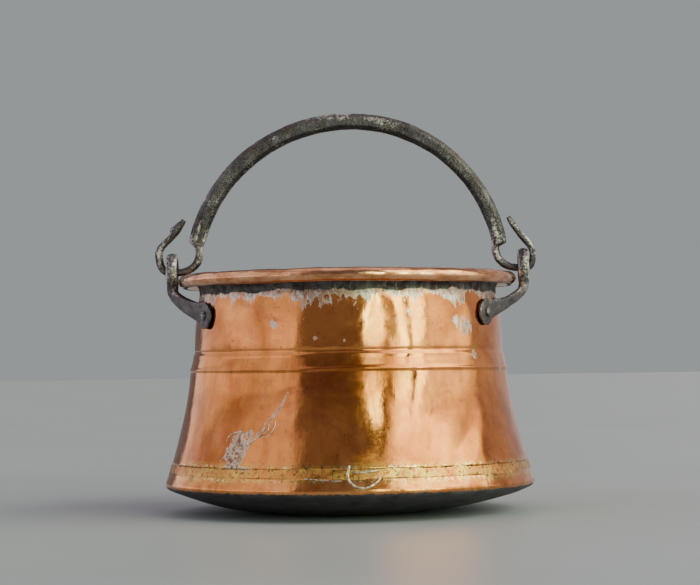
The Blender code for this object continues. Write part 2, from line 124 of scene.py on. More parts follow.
# Each hook's line in millimetres: outward from the loop's middle, up from the hinge axis, the bar's
# half widths towards the arch's outer side and inner side, and its depth along Y.
SHOULDERS = {
    "left": ((-22.2, 20.4, 3.2, 3.2, 7.8), (-22.5, 16.2, 3.0, 3.0, 7.0)),
    "right": ((-22.4, 18.7, 3.3, 3.2, 7.8), (-22.5, 15.2, 3.0, 3.0, 7.0)),
}
INNER_LIMB = (
    (-21.9, 11.9, 3.1, 3.1, 6.6),
    (-19.9, 7.3, 3.1, 3.1, 6.2),
    (-15.9, 3.6, 3.0, 3.0, 6.0),
    (-11.0, 1.2, 2.9, 2.9, 5.8),
    (-5.6, 0.2, 2.9, 2.9, 5.8),
    (0.0, 0.0, 2.9, 2.9, 5.8),
)
OUTER_LIMBS = {
    "left": (
        (5.4, 1.1, 2.9, 2.9, 5.8),
        (8.8, 4.6, 3.0, 3.0, 6.0),
        (10.4, 9.5, 3.1, 3.1, 6.2),
        (11.0, 15.2, 3.1, 3.1, 6.2),
        (9.4, 20.2, 2.9, 2.9, 6.0),
        (6.3, 24.0, 2.7, 2.7, 5.8),
        (2.6, 27.2, 2.5, 2.5, 5.6),
        (-0.4, 30.3, 2.6, 2.6, 6.0),
        (-1.6, 32.0, 3.1, 3.8, 6.8),
        (-2.9, 34.0, 3.4, 4.7, 7.4),
        (-6.0, 38.0, 2.8, 3.4, 6.6),
        (-8.6, 41.2, 2.2, 2.4, 5.4),
        (-10.2, 43.2, 1.7, 1.8, 4.2),
    ),
    "right": (
        (5.2, 1.4, 2.9, 2.9, 5.8),
        (7.3, 5.3, 2.6, 2.6, 5.8),
        (7.7, 10.0, 2.5, 2.5, 5.8),
        (7.3, 14.5, 2.5, 2.5, 5.6),
        (5.2, 18.5, 2.5, 2.5, 5.6),
        (2.1, 22.6, 2.6, 2.6, 5.6),
        (-1.8, 27.0, 2.5, 2.5, 5.4),
        (-5.6, 32.2, 2.5, 2.5, 5.2),
        (-8.8, 37.0, 2.4, 2.4, 4.8),
        (-11.6, 41.8, 1.7, 1.7, 3.8),
    ),
}

# ---- marks on the copper ----
# Dents: bearing, height, half width round the pot, half height, lean in degrees, and depth.
# Lengths are in millimetres.
DENTS = (
    (42, 61, 9, 26, 38, 1.9),
    (30, 78, 13, 17, -20, 0.9),
    (56, 52, 12, 16, 20, 0.9),
    (-24, 92, 17, 22, 15, 0.7),
    (12, 151, 12, 15, 0, 0.7),
    (-52, 118, 15, 14, 0, 1.0),
    (72, 112, 14, 14, 0, 0.9),
    (118, 70, 20, 24, 25, 1.5),
    (161, 96, 22, 18, -30, 1.2),
    (-150, 62, 16, 22, 40, 1.4),
    (-108, 88, 24, 20, 0, 1.1),
    (-170, 150, 14, 13, 0, 0.8),
)
# Splashes of tin: bearing, height, half width and half height, in the same terms.
TIN_SPLASHES = (
    (-6, 168, 12, 8),
    (-13.5, 161, 1.8, 12),
    (-25, 150, 4.5, 5.5),
    (-9.5, 139, 2.2, 2.2),
    (1, 137, 2, 2),
    (49, 146, 10, 10),
    (44, 151, 6, 7),
    (53, 126, 4, 5),
    (72, 113, 3, 3),
    (24, 158, 4, 6),
    (-62, 160, 8, 9),
    (104, 158, 9, 10),
    (139, 147, 4, 12),
    (-128, 155, 10, 9),
    (-160, 140, 3, 4),
)
# The grey soldered repair above the seam, in the same terms, and the crack that runs up from it.
SOLDER_PATCHES = (
    (-35.5, 58, 8, 9),
    (-37, 46, 9, 10),
    (-33, 36, 11, 6),
    (-31, 66, 4, 4),
    (150, 48, 8, 7),
)
CRACK = ((-34, 48), (-30.5, 62), (-27, 69), (-25.5, 77), (-22, 84), (-19, 97))


# ---- repeatable noise ----
def hashed(cells, seed):
    """A repeatable value from 0 to 1 for each whole-numbered cell."""
    mask = np.uint64(0xFFFFFFFF)
    x, y, z = (cells[..., i].astype(np.int64).astype(np.uint64) for i in range(3))
    value = (x * np.uint64(0x9E3779B1)) ^ (y * np.uint64(0x85EBCA77)) ^ (z * np.uint64(0xC2B2AE3D))
    value = (value ^ np.uint64(seed * 0x27D4EB2F + 12345)) & mask
    for shift, factor in ((15, 0x2C1B3C6D), (12, 0x297A2D39)):
        value = ((value ^ (value >> np.uint64(shift))) * np.uint64(factor)) & mask
    value ^= value >> np.uint64(15)
    return value / float(0xFFFFFFFF)


def noise(points, size, seed):
    """Smooth values from -1 to 1, with lumps of about the given size in millimetres."""
    scaled = points / (size * MM)
    cell = np.floor(scaled)
    part = scaled - cell
    part = part * part * (3 - 2 * part)
    total = 0.0
    for corner in itertools.product((0, 1), repeat=3):
        weight = 1.0
        for axis, side in enumerate(corner):
            weight = weight * (part[..., axis] if side else 1 - part[..., axis])
        total = total + weight * hashed(cell + np.array(corner), seed)
    return 2 * total - 1


def layered(points, size, seed, layers=3):
    """Noise with finer and weaker noise on top."""
    return sum(noise(points, size / 2**i, seed + 17 * i) / 2**i for i in range(layers))


def blows(points, size, seed):
    """Distance to the nearest hammer blow, as a share of their spacing in millimetres."""
    scaled = points / (size * MM)
    cell = np.floor(scaled)
    nearest = np.full(points.shape[:-1], 9.0)
    for step in itertools.product((-1, 0, 1), repeat=3):
        near = cell + np.array(step)
        place = near + np.stack([hashed(near, seed + 31 * i) for i in range(3)], -1)
        nearest = np.minimum(nearest, np.linalg.norm(scaled - place, axis=-1))
    return nearest


def step_between(value, low, high):
    """0 below low, 1 above high, and smooth between them."""
    part = np.clip((value - low) / (high - low), 0, 1)
    return part * part * (3 - 2 * part)


# ---- meshes ----
def grid_mesh(name, points, material, loop_rows=False, caps=False, fields=None, sharp=None):
    """A mesh from rows of points that each close into a ring.

    loop_rows joins the last row to the first, and caps closes both ends with flat faces.
    """
    rows, columns = points.shape[:2]
    index = np.arange(rows * columns).reshape(rows, columns)
    low, high = (index, np.roll(index, -1, axis=0)) if loop_rows else (index[:-1], index[1:])
    low_after, high_after = np.roll(low, -1, axis=1), np.roll(high, -1, axis=1)
    quads = np.stack([low, low_after, high_after, high], -1).reshape(-1, 4)
    flat = points.reshape(-1, 3)
    a, b, c, d = (flat[quads[:, i]] for i in range(4))
    volume = (a * np.cross(b, c)).sum() + (a * np.cross(c, d)).sum()
    faces = quads.tolist()
    if caps:
        faces += [index[0][::-1].tolist(), index[-1].tolist()]
    if volume < 0:
        faces = [face[::-1] for face in faces]
    mesh = bpy.data.meshes.new(name)
    mesh.from_pydata(flat.tolist(), [], faces)
    mesh.shade_smooth()
    if sharp:
        mesh.set_sharp_from_angle(angle=math.radians(sharp))
    for key, values in (fields or {}).items():
        held = mesh.attributes.new(key, "FLOAT", "POINT")
        held.data.foreach_set("value", np.asarray(values, np.float32).ravel())
    mesh.materials.append(material)
    piece = bpy.data.objects.new(name, mesh)
    bpy.context.scene.collection.objects.link(piece)
    return piece


def smooth_through(points, steps):
    """Rows on a smooth curve through the given rows of numbers."""
    points = np.asarray(points, float)
    last = len(points) - 1
    before = points[np.maximum(np.arange(last) - 1, 0)][:, None]
    here, there = points[:-1][:, None], points[1:][:, None]
    following = points[np.minimum(np.arange(last) + 2, last)][:, None]
    part = (np.arange(steps) / steps)[None, :, None]
    curve = 0.5 * (
        2 * here
        + (there - before) * part
        + (2 * before - 5 * here + 4 * there - following) * part**2
        + (3 * here - before - 3 * there + following) * part**3
    )
    return np.concatenate([curve.reshape(-1, points.shape[1]), points[-1:]])


def straight_through(values, steps):
    values = np.asarray(values, float)
    at = np.linspace(0, len(values) - 1, steps * (len(values) - 1) + 1)
    return np.stack([np.interp(at, range(len(values)), column) for column in values.T], -1)


def unit(vectors):
    return vectors / np.linalg.norm(vectors, axis=-1, keepdims=True)


def tangents(line):
    return unit(np.gradient(line, axis=0))


def turned(outline, steps):
    """Rows of points: an outline of radius and height turned round Z."""
    angles = np.linspace(0, 2 * math.pi, steps, endpoint=False)
    radius, height = (np.asarray(outline)[:, i : i + 1] for i in range(2))
    level = np.broadcast_to(height, (len(height), steps))
    return np.stack([radius * np.cos(angles), radius * np.sin(angles), level], -1)


# ---- the copper body's outline and its dents ----
def corner_point(angle):
    radius = BASE_RADIUS - CORNER_ROUNDING + CORNER_ROUNDING * math.cos(angle)
    return radius, CORNER_HEIGHT + CORNER_ROUNDING * math.sin(angle)


SKIRT_START = corner_point(math.radians(19))
BOTTOM_END = corner_point(math.radians(-67))


def wall_radius(height):
    """The outer radius of the body at heights from the rounded corner to the neck."""
    height = np.asarray(height, float)
    left = np.clip((BELT_HEIGHT - height) / (BELT_HEIGHT - SKIRT_START[1]), 0, 1)
    skirt = BELT_RADIUS + (SKIRT_START[0] - BELT_RADIUS) * left**SKIRT_CURVE
    part = np.clip((height - BELT_HEIGHT) / (BELT_TOP - BELT_HEIGHT), 0, 1)
    belt = BELT_RADIUS + (BELT_TOP_RADIUS - BELT_RADIUS) * part
    part = np.clip((height - BELT_TOP) / (NECK_HEIGHT - BELT_TOP), 0, 1)
    upper = BELT_TOP_RADIUS + (NECK_RADIUS - BELT_TOP_RADIUS) * part**2
    return np.where(height < BELT_HEIGHT, skirt, np.where(height < BELT_TOP, belt, upper))


def bearing_of(points):
    return np.degrees(np.arctan2(points[..., 0], -points[..., 1]))


def offsets_from(points, bearing, height):
    """Millimetres from a place on the body to points, round the pot and upwards."""
    turn = (bearing_of(points) - bearing + 180) % 360 - 180
    radius = np.hypot(points[..., 0], points[..., 1])
    return np.radians(turn) * radius / MM, points[..., 2] / MM - height


def blob(points, bearing, height, wide, tall):
    """1 at a place on the body, falling to 0 about twice its half sizes away."""
    across, up = offsets_from(points, bearing, height)
    return np.exp(-((across / wide) ** 2) - (up / tall) ** 2)


# The belt's worked lines: height, half width and rise in millimetres. The last one is a groove.
BELT_LINES = (
    (BELT_HEIGHT, 1.2, 0.55),
    (BELT_TOP - 3.8 * MM, 1.3, 0.3),
    (BELT_TOP - 1.4 * MM, 1.3, -0.35),
)


def body_bumps(points):
    """How far the copper stands out of its true round form: dents, hammering and wear."""
    out = 0.45 * MM * noise(points, 90, 3) + 0.28 * MM * noise(points, 34, 5)
    out += 0.12 * MM * noise(points * (1, 1, 0.45), 13, 7)
    out += 0.05 * MM * noise(points * (1, 1, 0.25), 8, 9)
    out += 0.16 * MM * (step_between(blows(points, 15, 11), 0.0, 0.9) - 0.5)
    for bearing, height, wide, tall, lean, depth in DENTS:
        across, up = offsets_from(points, bearing, height)
        turn = math.radians(lean)
        along = across * math.cos(turn) - up * math.sin(turn)
        over = across * math.sin(turn) + up * math.cos(turn)
        reach = (along / wide) ** 2 + (over / tall) ** 2
        out += depth * MM * (0.35 * np.exp(-reach / 3.2) - np.exp(-reach))
    height = points[..., 2]
    line = height - 0.7 * MM * noise(points, 40, 19)
    for middle, half, rise in BELT_LINES:
        out += rise * MM * np.exp(-(((line - middle) / (half * MM)) ** 2))
    return out


def copper_push(points):
    """The outward shift that the wall, the seam and the pan share, calm at the rim and corner."""
    height = points[..., 2]
    calm = 1 - step_between(height, NECK_HEIGHT - 6 * MM, NECK_HEIGHT + 3 * MM)
    calm = calm * step_between(height, 20 * MM, 28 * MM)
    high = step_between(height, 36 * MM, 54 * MM)
    push = body_bumps(points) * calm * (0.45 + 0.55 * high)
    held = np.minimum(push - 0.15 * MM * (1 - high), 0.4 * MM * high)
    return np.where(height < 50 * MM, held, push)


def solder_field(points):
    """1 on the soldered repair and its crack, with ragged edges."""
    ragged = 0.3 * layered(points, 9, 41, 3)
    patch = sum(blob(points, *place) for place in SOLDER_PATCHES)
    return np.clip(patch + ragged * step_between(patch, 0.05, 0.4), 0, 1.6)


def crack_field(points):
    """1 on the line of the crack."""
    best = np.zeros(points.shape[:-1])
    line = smooth_through(CRACK, 8)
    for bearing, height in line:
        best = np.maximum(best, blob(points, bearing, height, 1.3, 1.9))
    return best


def tin_field(points):
    """1 where tin has run over the copper, around the neck and in splashes."""
    height = points[..., 2]
    edge = 171 * MM + 6 * MM * layered(points * (1, 1, 0.12), 9, 51, 3)
    field = 0.5 * step_between(height, edge - 12 * MM, edge)
    field += 0.4 * step_between(height, edge - 1 * MM, edge + 3 * MM)
    for place in TIN_SPLASHES:
        field = np.maximum(field, blob(points, *place) * 0.8)
    return field


def outer_grime_and_shade(points):
    """1 in the black band under the rim: grime, and painted shade under the rim."""
    height = points[..., 2]
    start = 176 * MM + 1.8 * MM * layered(points, 14, 61, 2)
    return step_between(height, start - 3.0 * MM, start + 1.6 * MM)


# ---- copper wall ----
WALL_TURNS = 440
INSIDE_ROWS, FLARE_ROWS, ROLL_ROWS, BEAD_ROWS = 44, 11, 12, 30
BELOW_BELT, PAST_BELT = 112 * MM, 136 * MM


def bezier(points, steps):
    a, b, c, d = (np.array(point) for point in points)
    part = np.linspace(0, 1, steps)[:, None]
    near = 1 - part
    return near**3 * a + 3 * near**2 * part * b + 3 * near * part**2 * c + part**3 * d


def flare(radius, steps):
    """The outline from the neck up to where the sheet runs onto the wire, at a roll radius."""
    lift = radius - ROLL_RADIUS
    overhang, drop = RIM_RADIUS - NECK_RADIUS, RIM_HEIGHT - NECK_HEIGHT
    top = (
        RIM_RADIUS + radius * math.cos(ROLL_LEAVES),
        RIM_HEIGHT + radius * math.sin(ROLL_LEAVES),
    )
    pull = 0.42 * overhang
    onward = (top[0] - pull * math.sin(ROLL_LEAVES), top[1] + pull * math.cos(ROLL_LEAVES))
    foot = (NECK_RADIUS - lift, NECK_HEIGHT + 0.1 * drop)
    above = (NECK_RADIUS - lift, foot[1] + 0.55 * drop)
    return bezier((foot, above, onward, top), steps)


def roll(radius, start, end, steps):
    angles = np.linspace(start, end, steps)
    return np.stack(
        [RIM_RADIUS + radius * np.cos(angles), RIM_HEIGHT + radius * np.sin(angles)], -1
    )


def wall_outline():
    """The sheet's whole section: up the outside, round the wire, and back down the inside."""
    outer = np.concatenate(
        [
            np.linspace(WALL_FOOT, BELOW_BELT, 40, endpoint=False),
            np.linspace(BELOW_BELT, PAST_BELT, 36, endpoint=False),
            np.linspace(PAST_BELT, NECK_HEIGHT, 28),
        ]
    )
    inner = np.linspace(NECK_HEIGHT, WALL_FOOT, INSIDE_ROWS)
    full = 2 * math.pi
    return np.concatenate(
        [
            np.stack([wall_radius(outer), outer], -1),
            flare(ROLL_RADIUS, FLARE_ROWS)[1:],
            roll(ROLL_RADIUS, ROLL_LEAVES, ROLL_ENDS - full, ROLL_ROWS)[1:],
            roll(BEAD_RADIUS, ROLL_ENDS - full, ROLL_LEAVES, BEAD_ROWS),
            flare(BEAD_RADIUS, FLARE_ROWS)[::-1][1:-1],
            np.stack([wall_radius(inner) - WALL, inner], -1),
        ]
    ), len(outer)


def make_wall(material):
    outline, outer_rows = wall_outline()
    points = turned(outline, WALL_TURNS)
    calm = 1 - step_between(points[..., 2], NECK_HEIGHT - 6 * MM, NECK_HEIGHT + 3 * MM)
    solder, crack, tin = solder_field(points), crack_field(points), tin_field(points)
    # The repair and the thickest tin stand proud of the outer face only.
    outside = np.zeros(points.shape[:2])
    outside[:outer_rows] = 1
    lumps = 0.5 + 0.5 * layered(points, 3.2, 71, 2)
    relief = 0.7 * MM * step_between(solder, 0.3, 0.8) * (0.1 + lumps)
    relief += 0.35 * MM * crack * lumps
    relief += 0.16 * MM * step_between(tin, 0.5, 0.7) * lumps * calm
    outward = unit(points * (1, 1, 0))
    points = points + outward * (copper_push(points) + relief * outside)[..., None]
    points, below = shape_bead(points, outward, 1 - calm)
    # The lining starts a little way down the throat, and the sheet under the bead is painted black:
    # grime and the bead's shade.
    inside = np.zeros(points.shape[:2])
    throat_rows = FLARE_ROWS - 2
    inside[len(outline) - INSIDE_ROWS - throat_rows + 3 :] = 1
    grime_and_shade = outer_grime_and_shade(points) * outside
    grime_and_shade[outer_rows : outer_rows + FLARE_ROWS + ROLL_ROWS - 3] = 1
    # The downward face of the bead joins the black band as painted shade.
    grime_and_shade = np.maximum(grime_and_shade, below * (1 - inside))
    fields = {
        "tin": tin * (1 - step_between(points[..., 2], 181 * MM, 184 * MM)) * outside,
        "grime_and_shade": grime_and_shade,
        "solder": np.maximum(solder, crack * 0.85) * outside,
        "inside": inside,
        "bead": (1 - calm) * (1 - inside),
    }
    wall = grid_mesh("copper_wall", points, material, loop_rows=True, fields=fields)
    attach(wall, "pot")
    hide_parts("pot_wall")


def shape_bead(points, outward, bead):
    """The hammered bead wanders a little, and each blow flattens it; also a mask of where it faces
    down, which is painted dark as shade.
    """
    middle = np.stack([RIM_RADIUS * outward[..., 0], RIM_RADIUS * outward[..., 1]], -1)
    middle = np.concatenate([middle, np.full(points.shape[:2] + (1,), RIM_HEIGHT)], -1)
    away = points - middle
    reach = np.linalg.norm(away, axis=-1)
    on_bead = step_between(reach, 4.6 * MM, 5.0 * MM) * bead
    on_bead = on_bead * (1 - step_between(reach, 6.4 * MM, 7.5 * MM))
    hollow = 0.16 * MM * noise(middle, 11, 87) + 0.14 * MM * noise(points, 6, 89)
    shift = 0.4 * MM * noise(middle, 75, 85)
    wander = 0.45 * MM * noise(middle, 60, 81) + 0.25 * MM * noise(middle, 22, 83)
    points = points + outward * (bead * shift)[..., None]
    points[..., 2] += bead * wander
    points = points + unit(away) * (hollow * on_bead)[..., None]
    # Where the bead faces down it is painted dark, as shade.
    below = step_between(-away[..., 2] / BEAD_RADIUS, 0.9, 1.0) * on_bead
    return points, below


# ---- bottom pan and brass seam ----
PAN_TURNS = 400
PAN_MIDDLE = 0.6 * MM


def dish(radius):
    part = np.clip((radius - FLAT_RADIUS) / (BOTTOM_END[0] - FLAT_RADIUS), 0, 1)
    return BOTTOM_END[1] * part**BOTTOM_CURVE


def pan_outline():
    """The pan's section, from its axis outside, round the corner, and back to its axis inside."""
    radii = np.linspace(PAN_MIDDLE, BOTTOM_END[0], 62)
    corner = np.radians(np.linspace(-67, 19, 14))[1:]
    heights = np.linspace(SKIRT_START[1], PAN_TOP, 8)[1:]
    outer = np.concatenate(
        [
            np.stack([radii, dish(radii)], -1),
            np.array([corner_point(angle) for angle in corner]),
            np.stack([wall_radius(heights), heights], -1),
        ]
    )
    along = unit(np.gradient(outer, axis=0))
    inner = outer + PAN_THICKNESS * np.stack([-along[:, 1], along[:, 0]], -1)
    inner[:, 0] = np.maximum(inner[:, 0], PAN_MIDDLE)
    return np.concatenate([outer, inner[::-1][::2]]), len(outer)


def make_pan(material):
    outline, outer_rows = pan_outline()
    points = turned(outline, PAN_TURNS)
    radius = np.hypot(points[..., 0], points[..., 1])
    height = points[..., 2].copy()
    bumps = 0.25 * MM * noise(points, 12, 93) * step_between(height, 16 * MM, 22 * MM)
    bumps *= 1 - step_between(height, 25 * MM, 29 * MM)
    outward = unit(points * (1, 1, 0))
    points = points + outward * (copper_push(points) + np.minimum(bumps, 0.1 * MM))[..., None]
    # The dish: hammered from inside, so it sags a little between the blows.
    under = step_between(radius, 52 * MM, 70 * MM) * (1 - step_between(height, 15 * MM, 22 * MM))
    sag = 0.9 * MM * noise(points, 48, 95) + 0.35 * MM * noise(points, 19, 97)
    sag += 0.3 * MM * (step_between(blows(points, 17, 99), 0, 0.9) - 0.5)
    points[..., 2] += under * sag
    points[..., 2] = np.maximum(points[..., 2], 0)
    inside = np.zeros(points.shape[:2])
    inside[outer_rows:] = 1
    fields = {"inside": inside, "soot": 1 - step_between(height, 19 * MM, 25.5 * MM)}
    pan = grid_mesh("copper_bottom", points, material, caps=True, fields=fields)
    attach(pan, "pot")
    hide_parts("bottom_pan")


SEAM_TURNS = 1000
SEAM_ROWS = 17


def make_seam(material):
    """Brass that ran along the joint: a low ragged swelling with beads of it at its edges."""
    base = turned([(1.0, 0.0)], SEAM_TURNS)[0]
    here = base * BASE_RADIUS
    low = SEAM_HEIGHT - 5.2 * MM + 1.1 * MM * layered(here, 13, 103, 3)
    high = SEAM_HEIGHT + 5.6 * MM + 1.0 * MM * layered(here, 11, 105, 3)
    part = np.linspace(0, 1, SEAM_ROWS)[:, None]
    height = low + (high - low) * part
    flat = [np.broadcast_to(base[:, i], height.shape) * wall_radius(height) for i in range(2)]
    points = np.stack([*flat, height], -1)
    crown = np.sin(math.pi * part)
    lump = np.maximum(layered(points, 6, 107, 3), -0.3)
    lump = lump * step_between(noise(points, 40, 108), -0.5, 0.3)
    beads = 0.3 * MM * step_between(noise(points, 3.0, 115), 0.15, 0.5)
    beads = beads * np.exp(-(((part - 0.86) / 0.07) ** 2))
    beads = beads * step_between(bearing_of(points), 20, 40)
    proud = -0.22 * MM + crown * (0.36 * MM + 0.16 * MM * lump) + beads
    outward = unit(points * (1, 1, 0))
    outer = points + outward * (copper_push(points) + proud)[..., None]
    inner = points[::-1][::4] - 1.9 * MM * outward[::-1][::4]
    seam = grid_mesh("brazed_seam", np.concatenate([outer, inner]), material, loop_rows=True)
    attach(seam, "pot")
    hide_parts("brass_seam")


# Ridges of solder on the copper: half width, height, and the line as bearings and heights.
RIDGES = {
    "cramp_loop": (
        0.9,
        0.8,
        ((1.9, 40), (1.4, 36), (2.0, 31), (4.2, 27), (7.0, 27), (9.4, 30), (10.9, 34), (10.4, 36)),
    ),
    "cramp_bar": (0.9, 0.7, ((3.0, 38.5), (5.0, 38.0), (8.0, 38.6), (10.6, 39.6))),
    "cramp_spur": (0.8, 0.6, ((1.9, 43.5), (1.6, 40), (0.9, 37))),
    "seam_ridge": (0.6, 0.5, ((-11.5, 33.6), (-8, 33.0), (-4, 32.2), (-0.5, 32.0))),
    "crack_edge": (0.5, 0.4, ((-33, 54), (-30, 61), (-27, 66), (-25, 69.5), (-24.6, 74), (-23, 80))),
    "crack_lip": (0.45, 0.35, ((-26.5, 63.5), (-24.2, 66), (-22.8, 71), (-22.4, 77))),
    "patch_edge": (0.6, 0.4, ((-41, 60), (-40, 65), (-36.5, 68), (-33, 66), (-32, 60), (-33.5, 55))),
    "patch_run": (0.55, 0.4, ((-42, 45), (-40.5, 50), (-38.5, 55), (-37, 59), (-37.6, 63))),
    "patch_foot": (0.55, 0.4, ((-31, 57), (-33, 51), (-34, 46), (-33, 41), (-30.5, 37))),
}


def make_ridge(name, material):
    half, tall, line = RIDGES[name]
    line = smooth_through(np.array(line) * (1, MM), 14)
    angle = np.radians(line[:, 0] - 90)
    radius = wall_radius(line[:, 1])
    places = np.stack([radius * np.cos(angle), radius * np.sin(angle), line[:, 1]], -1)
    outward = unit(places * (1, 1, 0))
    places = places + outward * (copper_push(places) + 0.05 * MM)[:, None]
    along = tangents(places)
    side = unit(np.cross(outward, along))
    end = np.sin(np.pi * np.linspace(0.04, 0.96, len(places))) ** 0.4
    half = half * MM * end * (1 + 0.35 * noise(places, 3, 151))
    tall = tall * MM * end * (1 + 0.45 * noise(places, 2.5, 153))
    turn = np.radians(np.linspace(-30, 210, 12))
    across = (half[:, None] * np.cos(turn))[..., None] * side[:, None]
    up = (tall[:, None] * np.sin(turn))[..., None] * outward[:, None]
    ridge = grid_mesh(name, places[:, None] + across + up, material, caps=True)
    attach(ridge, "pot")


# ---- iron parts ----
def forged(points, normals):
    """Hammer flats, scale and pits on iron, as a shift along the normals."""
    flats = 0.22 * MM * (step_between(blows(points, 9, 121), 0, 0.9) - 0.5)
    rough = 0.16 * MM * layered(points, 7, 123, 3)
    pits = -0.22 * MM * step_between(noise(points, 2.1, 127), 0.42, 0.8)
    return points + normals * (flats + rough + pits)[..., None]


def ring_normals(points):
    """Outward directions on a grid of rings along a bar."""
    around = np.roll(points, -1, axis=1) - np.roll(points, 1, axis=1)
    along = np.gradient(points, axis=0)
    normals = unit(np.cross(around, along))
    middle = points.mean(axis=1, keepdims=True)
    flip = np.sign(((points - middle) * normals).sum((0, 1)).sum() or 1.0)
    return normals * flip


def rounded_oblong(half_width, half_depth, power, count):
    """Rows of section points: an oblong with rounded corners."""
    angle = np.linspace(0, 2 * math.pi, count, endpoint=False)
    c, s = np.cos(angle), np.sin(angle)
    shape = (np.abs(c) ** power + np.abs(s) ** power) ** (-1 / power)
    return c * shape * half_width[:, None], s * shape * half_depth[:, None]


def chamfered_oblong(low, high, half_depth, chamfer, count):
    """Rows of section points, evenly spaced round an oblong with chamfered corners."""
    h, c = half_depth, chamfer
    corners = np.stack(
        [
            np.stack([high, high, high - c, low + c, low, low, low + c, high - c], -1),
            np.stack([c - h, h - c, h, h, h - c, c - h, -h, -h], -1),
        ],
        -1,
    )
    corners = np.concatenate([corners, corners[:, :1]], axis=1)
    lengths = np.linalg.norm(np.diff(corners, axis=1), axis=-1).mean(0)
    reach = np.concatenate([[0], np.cumsum(lengths)])
    at = np.linspace(0, reach[-1], count, endpoint=False)
    rows = np.array([[np.interp(at, reach, row[:, i]) for i in range(2)] for row in corners])
    return rows[:, 0], rows[:, 1]


def wall_place(angle, height, lift):
    step = 1 * MM
    slope = float(wall_radius(height - step) - wall_radius(height + step)) / (2 * step)
    normal = unit(np.array((math.cos(angle), math.sin(angle), slope)))
    radius = float(wall_radius(height))
    place = np.array((radius * math.cos(angle), radius * math.sin(angle), height))
    return place + lift * normal, normal


def ear_half(strap_width):
    """Half an ear at +X and +Y: places, face directions, widths and thicknesses, foot to loop."""
    stations = []
    for along, wide, thick in (
        (-0.5, 0.24, 0.5),
        (-0.46, 0.44, 0.7),
        (-0.38, 0.68, 0.9),
        (-0.2, 0.94, 1.00),
        (0.00, 1.00, 1.00),
        (0.22, 0.92, 1.00),
    ):
        run = along * FOOT_LENGTH
        angle = FOOT_ANGLE - run * math.cos(FOOT_SLOPE) / float(wall_radius(RIVET_HEIGHT))
        height = RIVET_HEIGHT + run * math.sin(FOOT_SLOPE)
        place, normal = wall_place(angle, height, SEAT_GAP + FOOT_THICKNESS / 2)
        stations.append((*place, *normal, wide * FOOT_WIDTH, thick * FOOT_THICKNESS))
    leaves = np.array(stations[-1][:3])
    side_y = LOOP_OPENING / 2 + LOOP_BAR / 2
    base = np.array((LOOP_RADIUS, 0.72 * side_y, HINGE_HEIGHT - LOOP_BELOW - LOOP_BAR / 2))
    reached = base + np.array((-1.2, 3.8, -5.0)) * MM
    run = unit(reached[:2] - leaves[:2])
    outward = np.array((-run[1], run[0], 0.0))
    foot_end = 0.92 * FOOT_WIDTH
    for along, rise, width in (
        (0.1, 0.045, 0.7 * foot_end + 0.3 * strap_width),
        (0.25, 0.14, 0.38 * foot_end + 0.62 * strap_width),
        (0.55, 0.37, strap_width),
        (0.82, 0.68, (strap_width + STRAP_END_WIDTH) / 2),
    ):
        place = leaves + (reached - leaves) * along
        place[2] = leaves[2] + rise * (reached[2] - leaves[2])
        stations.append((*place, *outward, width, STRAP_THICKNESS))
    turning = unit(outward + np.array((0, 1, 0)))
    stations.append((*reached, *turning, STRAP_END_WIDTH, (STRAP_THICKNESS + LOOP_BAR) / 2))
    stations.append((*base, 0, 1, 0, (STRAP_END_WIDTH + LOOP_DEPTH) / 2, LOOP_BAR))
    crown = LOOP_ABOVE + LOOP_BAR / 2
    for angle in np.radians(np.linspace(-25, 90, 5)):
        place = (LOOP_RADIUS, side_y * math.cos(angle), HINGE_HEIGHT + crown * math.sin(angle))
        face = unit(np.array((0, math.cos(angle) / side_y, math.sin(angle) / crown)))
        stations.append((*place, *face, LOOP_DEPTH, LOOP_BAR))
    return np.array(stations)


EAR_STEPS, EAR_SIDES = 14, 36


def make_ear(side, material):
    half = ear_half(STRAP_WIDTHS[side])
    mirrored = half[:-1][::-1] * (1, -1, 1, 1, -1, 1, 1, 1)
    stations = np.concatenate([half, mirrored])
    line = smooth_through(stations[:, :6], EAR_STEPS)
    sizes = straight_through(stations[:, 6:], EAR_STEPS)
    places, faces = line[:, :3], line[:, 3:]
    across = unit(np.cross(tangents(places), faces))
    face = unit(np.cross(across, tangents(places)))
    width, thick = sizes[:, 0], sizes[:, 1]
    u, v = rounded_oblong(width / 2, thick / 2, 5.0, EAR_SIDES)
    on_loop = step_between(places[:, 2], HINGE_HEIGHT - 12 * MM, HINGE_HEIGHT - 5 * MM)
    ridge = (0.9 * MM * on_loop)[:, None] * (1 - np.abs(u) / (width / 2)[:, None])
    v = v + np.where(v > 0, ridge, 0) - 0.5 * np.where(v > 0, (0.9 * MM * on_loop)[:, None], 0)
    points = places[:, None] + u[..., None] * across[:, None] + v[..., None] * face[:, None]
    points = points * (SIDES[side], 1, 1)
    normals = ring_normals(points)
    # The two ears take their hammer marks from different places in the noise.
    elsewhere = points + np.array((0, 0, SIDES[side] * 0.5))
    shaped = forged(elsewhere, normals) - elsewhere + points
    # The underside of a foot stays off the wall.
    on_foot = 1 - step_between(places[:, 2], RIVET_HEIGHT + 8 * MM, RIVET_HEIGHT + 14 * MM)
    keep = on_foot[:, None] * (v < 0)
    points = shaped * (1 - keep[..., None]) + points * keep[..., None]
    # Worn values: rubbed edges and loop, and on the strap's upper side a paler band that is wear and
    # painted highlight.
    rim = (np.abs(u) / (width / 2)[:, None]) ** 6 * (v > 0)
    strap_top_wear_and_highlight = step_between(places[:, 2], 168 * MM, 176 * MM) * (1 - on_loop)
    edge = 0.45 * rim + 0.4 * on_loop[:, None] * (v > 0) + 0.3 * strap_top_wear_and_highlight[:, None] * (u > 0)
    name = f"forged_ear_{side}"
    ear = grid_mesh(name, points, material, caps=True, fields={"worn": edge}, sharp=50)
    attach(ear, "pot")
    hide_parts(f"ear_{side}")


